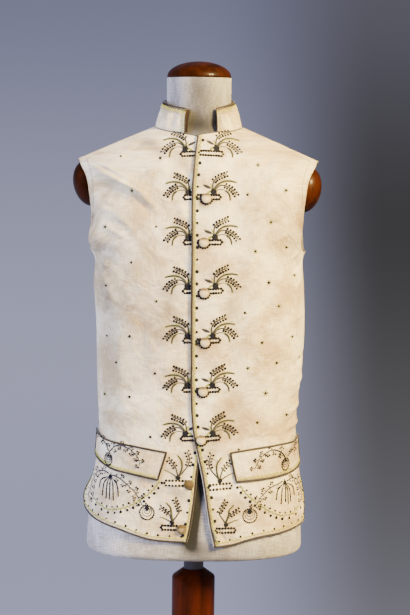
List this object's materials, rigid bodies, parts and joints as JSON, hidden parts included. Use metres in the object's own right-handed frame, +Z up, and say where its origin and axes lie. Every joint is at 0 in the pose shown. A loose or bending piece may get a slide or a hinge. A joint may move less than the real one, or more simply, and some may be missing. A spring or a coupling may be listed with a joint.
{
  "type": "embroidered waistcoat on dress form",
  "caption": "Long silk waistcoat with stand collar, pocket flaps and covered buttons, on a limbless torso form over a post and round foot.",
  "frame": {"origin": "centre of the foot's underside, on the floor", "axes": "+Z up along the post, +X to the wearer's left, the front looks along -Y"},
  "size_m": [0.4149, 0.32, 1.0777],
  "materials": {
    "ivory_silk": "fine ribbed ivory silk with a soft sheen",
    "back_linen": "plain weave grey linen, matt",
    "covered_button": "tan silk drawn over a domed mould",
    "form_linen": "linen stretched over padding, matt",
    "dark_wood": "dark red-brown polished hardwood",
    "tube_chrome": "polished chromed steel tube"
  },
  "bodies": {
    "root": {"front_right": "ivory_silk", "front_left": "ivory_silk", "back_right": "back_linen", "back_left": "back_linen", "collar": "ivory_silk", "pocket_flap_right": "ivory_silk", "pocket_flap_left": "ivory_silk", "button_1": "covered_button", "button_2": "covered_button", "button_3": "covered_button", "button_4": "covered_button", "button_5": "covered_button", "button_6": "covered_button", "button_7": "covered_button", "button_8": "covered_button", "form_torso": "form_linen", "neck_cap": "dark_wood", "arm_cap_right": "dark_wood", "arm_cap_left": "dark_wood", "stand_tube": "tube_chrome", "stand_post": "dark_wood", "stand_foot": "dark_wood"}
  },
  "joints": []
}
